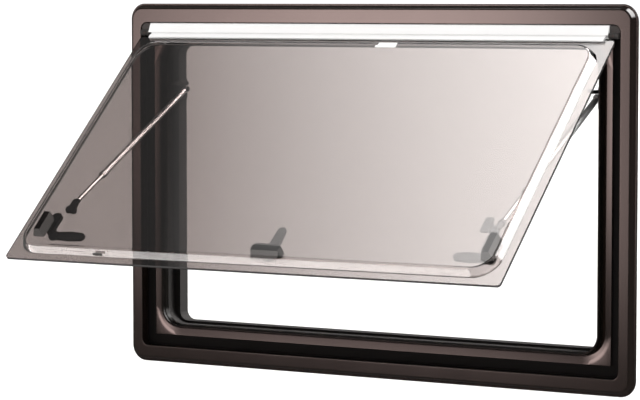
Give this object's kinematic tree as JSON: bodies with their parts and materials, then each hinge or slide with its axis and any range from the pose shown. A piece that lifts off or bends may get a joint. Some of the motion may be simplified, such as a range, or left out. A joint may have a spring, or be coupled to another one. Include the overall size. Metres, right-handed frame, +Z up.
{
  "type": "caravan window",
  "caption": "Top-hinged caravan window: moulded frame with seal, domed double acrylic sash, telescopic side stays and turning latches.",
  "frame": {"origin": "middle of the bottom flange's back face, where it rests on the outside of the wall", "axes": "+X to the right seen from outside, +Y through the wall to the inside, +Z up"},
  "size_m": [0.95, 0.4602, 0.615],
  "materials": {
    "frame_plastic": "dark brown-grey moulded, satin",
    "seal_rubber": "black, matt",
    "white_rail": "white powder coat, satin",
    "grey_plastic": "dark grey, satin",
    "steel": "bright",
    "black_plastic": "black-brown, satin",
    "tinted_acrylic": "clear, bronze-grey tint",
    "white_plate": "white, gloss",
    "stay_aluminium": "bright drawn tube"
  },
  "bodies": {
    "frame": {"outer_frame": "frame_plastic", "frame_seal": "seal_rubber", "hinge_rail": "white_rail", "hinge_end_left": "grey_plastic", "hinge_end_right": "grey_plastic", "hinge_pin_left": "steel", "hinge_pin_right": "steel", "stay_knuckle_left": "black_plastic", "stay_knuckle_right": "black_plastic"},
    "sash": {"sash_rail": "white_rail", "outer_pane": "tinted_acrylic", "inner_pane": "tinted_acrylic", "top_plate": "white_plate", "vent_plug": "grey_plastic", "stay_bracket_left": "black_plastic", "stay_bracket_right": "black_plastic", "latch_base_left": "black_plastic", "latch_base_middle": "black_plastic", "latch_base_right": "black_plastic", "latch_pin_left": "steel", "latch_pin_middle": "steel", "latch_pin_right": "steel"},
    "lever_left": {"latch_lever_left": "black_plastic"},
    "lever_middle": {"latch_lever_middle": "black_plastic"},
    "lever_right": {"latch_lever_right": "black_plastic"},
    "tube_left": {"stay_tube_left": "stay_aluminium", "tube_collar_left": "stay_aluminium"},
    "tube_right": {"stay_tube_right": "stay_aluminium", "tube_collar_right": "stay_aluminium"},
    "rod_left": {"stay_rod_left": "steel", "rod_end_left": "black_plastic"},
    "rod_right": {"stay_rod_right": "steel", "rod_end_right": "black_plastic"}
  },
  "joints": [
    {"name": "sash_hinge", "type": "hinge", "parent": "frame", "child": "sash", "pos_m": [0, -0.0117, 0.553], "axis": [-1, 0, 0], "range_deg": [-48.2, 0]},
    {"name": "stay_tube_hinge_left", "type": "hinge", "parent": "frame", "child": "tube_left", "pos_m": [-0.388, 0.036, 0.4545], "axis": [-1, 0, 0], "range_deg": [-55.6, 0]},
    {"name": "stay_slide_left", "type": "slide", "parent": "tube_left", "child": "rod_left", "axis": [0, -0.8793, -0.4762], "range_m": [-0.0775, 0]},
    {"name": "stay_tube_hinge_right", "type": "hinge", "parent": "frame", "child": "tube_right", "pos_m": [0.388, 0.036, 0.4545], "axis": [-1, 0, 0], "range_deg": [-55.6, 0]},
    {"name": "stay_slide_right", "type": "slide", "parent": "tube_right", "child": "rod_right", "axis": [0, -0.8793, -0.4762], "range_m": [-0.0775, 0]},
    {"name": "latch_left_turn", "type": "hinge", "parent": "sash", "child": "lever_left", "pos_m": [-0.394, -0.34278, 0.23015], "axis": [0, -0.6665, 0.7455], "range_deg": [0, 55]},
    {"name": "latch_middle_turn", "type": "hinge", "parent": "sash", "child": "lever_middle", "pos_m": [0.021, -0.35694, 0.21749], "axis": [0, -0.6665, 0.7455], "range_deg": [0, 90]},
    {"name": "latch_right_turn", "type": "hinge", "parent": "sash", "child": "lever_right", "pos_m": [0.394, -0.34278, 0.23015], "axis": [0, 0.6665, -0.7455], "range_deg": [0, 55]}
  ],
  "couplings": [
    {"joint": "stay_tube_hinge_left", "follows": "sash_hinge", "ratio": 1.1528},
    {"joint": "stay_slide_left", "follows": "sash_hinge", "m_per_rad": 0.09184},
    {"joint": "stay_tube_hinge_right", "follows": "sash_hinge", "ratio": 1.1528},
    {"joint": "stay_slide_right", "follows": "sash_hinge", "m_per_rad": 0.09184}
  ]
}
